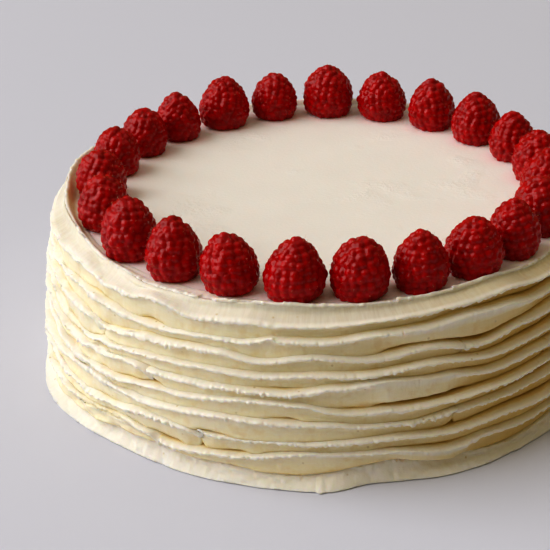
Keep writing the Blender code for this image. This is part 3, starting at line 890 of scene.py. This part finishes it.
def berry_share(level, domed):
    """Share of the berry's full radius at a level from 0, its open end, to 1, its tip."""
    below = OPEN_END + (1.0 - OPEN_END) * np.sin(0.5 * math.pi * np.clip(level / WAIST, 0.0, 1.0))
    above = np.clip(1.0 - np.clip((level - WAIST) / (1.0 - WAIST), 0.0, 1.0) ** domed, 0.0, 1.0) ** 0.62
    return np.where(level < WAIST, below, above)


def berry_outline(width, height, domed):
    """The line down a berry from tip to open end: arrays of radius, height and the area above each point."""
    level = np.linspace(1.0, 0.0, 500)
    r = (0.5 * width - BULGE) * berry_share(level, domed)
    z = 0.75 * BULGE + (height - 1.75 * BULGE) * level
    steps = np.hypot(np.diff(r), np.diff(z)) * math.pi * (r[1:] + r[:-1])
    return r, z, np.concatenate([[0.0], np.cumsum(steps)])


def capped_rings(sides, rings):
    """Triangles of a closed shape: a tip, a number of rings down from it, and a point under the last."""
    faces = []
    for side in range(sides):
        after = (side + 1) % sides
        faces.append((0, 1 + side, 1 + after))
        for ring in range(rings - 1):
            here, below = 1 + ring * sides, 1 + (ring + 1) * sides
            faces.append((here + side, below + side, below + after))
            faces.append((here + side, below + after, here + after))
        last = 1 + (rings - 1) * sides
        faces.append((last + after, last + side, last + sides))
    return faces


def dome():
    """A drupelet's dome on the unit ball, closed underneath: its points and its triangles."""
    points = [(0.0, 0.0, 1.0)]
    for share in CAP_LEVELS:
        angle = 0.5 * math.pi * share
        for side in range(CAP_SIDES):
            turn = 2.0 * math.pi * (side + 0.5 * share) / CAP_SIDES
            out = math.sin(angle)
            points.append((out * math.cos(turn), out * math.sin(turn), math.cos(angle)))
    points.append((0.0, 0.0, 0.0))
    return np.array(points), capped_rings(CAP_SIDES, len(CAP_LEVELS))


DOME_POINTS, DOME_FACES = dome()


class Batch:
    """Collects the points, faces and numbers of many small shapes that become one mesh."""

    def __init__(self):
        self.points, self.faces, self.ripeness, self.count = [], [], [], 0

    def add(self, points, faces, ripeness):
        self.faces += [[corner + self.count for corner in face] for face in faces]
        self.points.append(points)
        self.ripeness.append(np.broadcast_to(ripeness, len(points)))
        self.count += len(points)


def triangles_at(piece):
    """How many triangles the piece has after its modifiers."""
    mesh = piece.evaluated_get(bpy.context.evaluated_depsgraph_get()).data
    return sum(len(face.vertices) - 2 for face in mesh.polygons)


def grown_together(batch, centres):
    """The batch's shapes as one closed skin with soft creases, each point as ripe as the nearest drupelet."""
    lumps = mesh_object("lumps", np.concatenate(batch.points), batch.faces)
    skin = lumps.modifiers.new("skin", "REMESH")
    skin.mode = "VOXEL"
    skin.voxel_size = SKIN_VOXEL
    soft = lumps.modifiers.new("soft", "SMOOTH")
    soft.factor = 0.5
    soft.iterations = SKIN_SOFTENING
    thinner = lumps.modifiers.new("thinner", "DECIMATE")
    thinner.ratio = SKIN_TRIANGLES / triangles_at(lumps)
    mesh = bpy.data.meshes.new_from_object(lumps.evaluated_get(bpy.context.evaluated_depsgraph_get()))
    points = np.empty(3 * len(mesh.vertices), dtype=np.float32)
    mesh.vertices.foreach_get("co", points)
    points = points.reshape(-1, 3).astype(float)
    faces = [tuple(face.vertices) for face in mesh.polygons]
    coarse = lumps.data
    bpy.data.objects.remove(lumps)
    bpy.data.meshes.remove(coarse)
    bpy.data.meshes.remove(mesh)
    nearest = np.argmin(np.linalg.norm(points[:, None, :] - np.array(centres)[None, :, :], axis=-1), axis=1)
    result = Batch()
    result.add(points, faces, np.concatenate([ripe[:1] for ripe in batch.ripeness])[nearest])
    return result


def drupelet_places(outline, spin, rng):
    """Where the drupelets sit, in staggered rings down the berry: radius, height, slope and turn of each."""
    r_line, z_line, _ = outline
    length = np.concatenate([[0.0], np.cumsum(np.hypot(np.diff(r_line), np.diff(z_line)))])
    rings = int(round(length[-1] / (RING_PITCH * DRUPELET)))
    for ring in range(rings):
        middle = length[-1] * (ring + 0.35) / rings
        count = max(1, int(round(2.0 * math.pi * np.interp(middle, length, r_line) / DRUPELET)))
        for k in range(count):
            tilt = RING_TILT * math.sin(spin + 2.0 * math.pi * k / count)
            at = np.clip(middle + tilt + rng.normal(0.0, JITTER), 0.0, length[-1])
            r, z = np.interp(at, length, r_line), np.interp(at, length, z_line)
            low, high = max(at - 0.5 * MM, 0.0), min(at + 0.5 * MM, length[-1])
            slope = [np.interp(high, length, v) - np.interp(low, length, v) for v in (r_line, z_line)]
            down = Vector((*slope, 0.0)).normalized()
            turn = spin + 2.0 * math.pi * (k + 0.5 * ring) / count
            turn += rng.normal(0.0, JITTER) / max(r, 1.5 * MM)
            yield r, z, down, turn


def make_berry(index, azimuth, distance, width, height, material):
    """One raspberry of grown-together drupelets, with a few hairs, sunk a little into the cream."""
    rng = np.random.default_rng(SEED + 900 + index)
    outline = berry_outline(width, height + SINK, DOMES.get(index, rng.uniform(1.5, 2.2)))
    batch = Batch()
    spin = rng.uniform(0.0, 2.0 * math.pi)
    hairs, centres = [], []
    for r, z, down, turn in drupelet_places(outline, spin, rng):
        out = Vector((math.cos(turn), math.sin(turn), 0.0))
        side = Vector((-math.sin(turn), math.cos(turn), 0.0))
        along = (out * down.x + Vector((0.0, 0.0, down.y))).normalized()
        normal = along.cross(side).normalized()
        if normal.dot(out * r + Vector((0.0, 0.0, z - 0.3 * height))) < 0.0:
            normal = -normal
        size = rng.normal(1.0, SIZES_VARY)
        spread = SPREAD * size
        centre = out * r + Vector((0.0, 0.0, z)) - normal * rng.normal(*DEPTH) * MM
        long_axis = along * spread * rng.uniform(0.92, 1.08)
        axes = np.array((side * spread, long_axis, normal * DOME_HEIGHT * MM * size))
        batch.add(DOME_POINTS @ axes + np.array(centre), DOME_FACES, rng.uniform(0.0, 1.0))
        centres.append(np.array(centre))
        hairs.append((np.array(centre + normal * 1.4 * MM * size), np.array(normal), np.array(side)))
    add_berry_core(batch, outline)
    batch = grown_together(batch, centres)
    for k in rng.choice(len(hairs), HAIRS, replace=False):
        add_hair(batch, *hairs[k], rng)
    points = np.concatenate(batch.points)
    points[:, 2] = np.maximum(points[:, 2], 0.02 * MM)
    points[:, 0] += LEANS.get(index, rng.uniform(-0.8, 0.8)) * MM * (points[:, 2] / height) ** 1.5
    piece = mesh_object(f"raspberry_{index + 1:02d}", points, batch.faces,
                        {"ripeness": np.concatenate(batch.ripeness)})
    turn = math.radians(azimuth)
    piece.rotation_euler = (0.0, 0.0, turn)
    piece.location = (distance * MM * math.sin(turn), -distance * MM * math.cos(turn), TOP_HEIGHT - SINK)
    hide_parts(f"berry_{index + 1:02d}")
    return finish_piece(piece, material, "raspberry")


def add_berry_core(batch, outline):
    """The flesh between the drupelets, so that no gap shows through."""
    sides, rings = 30, 16
    r_line, z_line, area = outline
    points = [(0.0, 0.0, z_line[0] - 0.1 * MM)]
    for ring in range(1, rings + 1):
        at = area[-1] * (ring / rings) ** 1.5
        r, z = np.interp(at, area, r_line) + 0.2 * MM, np.interp(at, area, z_line)
        turns = np.linspace(0.0, 2.0 * math.pi, sides, endpoint=False)
        points += [(r * math.cos(turn), r * math.sin(turn), z) for turn in turns]
    points.append((0.0, 0.0, 0.1 * MM))
    batch.add(np.array(points), capped_rings(sides, rings), 1.0)


def add_hair(batch, root, normal, side, rng):
    """A fine bent hair of three thin sides that stands on a drupelet."""
    lean = rng.normal(0.0, 0.5, 3)
    first = normal + 0.4 * lean
    tip = root + rng.uniform(0.8, 1.7) * MM * (normal + lean) / np.linalg.norm(normal + lean)
    middle = root + 0.5 * MM * first / np.linalg.norm(first)
    other = np.cross(normal, side)
    corners = [math.cos(a) * side + math.sin(a) * other for a in (0.0, 2.1, 4.2)]
    rings = ((root - 0.2 * MM * normal, 1.0), (middle, 0.8))
    points = [base + HAIR_WIDTH * scale * corner for base, scale in rings for corner in corners]
    points.append(tip)
    faces = [(2, 1, 0)]
    for k in range(3):
        after = (k + 1) % 3
        faces += [(k, after, 3 + after), (k, 3 + after, 3 + k), (3 + k, 3 + after, 6)]
    batch.add(np.array(points), faces, HAIR_RIPENESS)


def make_berries(material):
    for index, (azimuth, distance, width, height) in enumerate(BERRIES):
        make_berry(index, azimuth, distance, width * MM, height * MM, material)


# ================ stage
LIGHTS_AIM = (0.0, 0.0, 0.03)
FLOOR_COLOUR = (0.645, 0.665, 0.77, 1.0)
WORLD_COLOUR = (0.98, 0.77, 0.35, 1.0)


def make_floor():
    bpy.ops.mesh.primitive_circle_add(vertices=96, radius=6.0, fill_type="NGON", location=(0.0, 0.0, -0.0002))
    floor = bpy.context.object
    floor.name = "floor"
    material, tree = new_material("floor")
    shader = tree.nodes["Principled BSDF"]
    shader.inputs["Base Color"].default_value = FLOOR_COLOUR
    shader.inputs["Roughness"].default_value = 0.8
    floor.data.materials.append(material)


def make_lights():
    world = bpy.data.worlds.new("studio")
    bpy.context.scene.world = world
    world.use_nodes = True
    background = world.node_tree.nodes["Background"]
    background.inputs["Color"].default_value = WORLD_COLOUR
    background.inputs["Strength"].default_value = 0.165
    add_area_light("window", (-3.52, -0.37, 2.74), 4.8, 173.0, (0.975, 0.975, 1.0))
    add_area_light("ceiling", (0.6, 0.8, 4.2), 6.0, 37.0, (1.0, 0.99, 1.0))


def add_area_light(name, place, size, power, colour):
    data = bpy.data.lights.new(name, "AREA")
    data.shape = "SQUARE"
    data.size = size
    data.energy = power
    data.color = colour
    light = bpy.data.objects.new(name, data)
    bpy.context.scene.collection.objects.link(light)
    light.location = place
    light.rotation_euler = (Vector(LIGHTS_AIM) - Vector(place)).to_track_quat("-Z", "Y").to_euler()


def make_camera():
    """The camera stands where the photograph's did: its aim shows at AIM_PIXEL, and it rolls a little."""
    data = bpy.data.cameras.new("camera")
    data.sensor_width = SENSOR
    data.lens = FOCAL_PIXELS * SENSOR / PHOTO_SIZE
    data.clip_start = 0.01
    data.clip_end = 50.0
    camera = bpy.data.objects.new("camera", data)
    bpy.context.scene.collection.objects.link(camera)
    elevation = math.radians(CAMERA_ELEVATION)
    back = Vector((0.0, -math.cos(elevation), math.sin(elevation)))
    right = Vector((0.0, 0.0, 1.0)).cross(back).normalized()
    up = back.cross(right)
    looking = Matrix((right, up, back))
    half = 0.5 * PHOTO_SIZE
    aim = Vector(((AIM_PIXEL[0] - half) / FOCAL_PIXELS, (half - AIM_PIXEL[1]) / FOCAL_PIXELS, -1.0))
    turn = Vector((0.0, 0.0, -1.0)).rotation_difference(aim.normalized()).to_matrix()
    roll = Matrix.Rotation(math.radians(CAMERA_ROLL), 3, "Z")
    axes = (roll @ turn @ looking).transposed()
    place = Vector((0.0, 0.0, AIM_HEIGHT)) + back * CAMERA_DISTANCE
    camera.matrix_world = Matrix.Translation(place) @ axes.to_4x4()
    bpy.context.scene.camera = camera


bpy.context.scene.view_settings.view_transform = "Standard"
bpy.context.scene.view_settings.look = "High Contrast"
make_floor()
make_lights()
make_camera()
make_top(smooth_cream_material())
make_piping(piped_cream_material())
make_berries(raspberry_material())
bpy.context.view_layer.update()
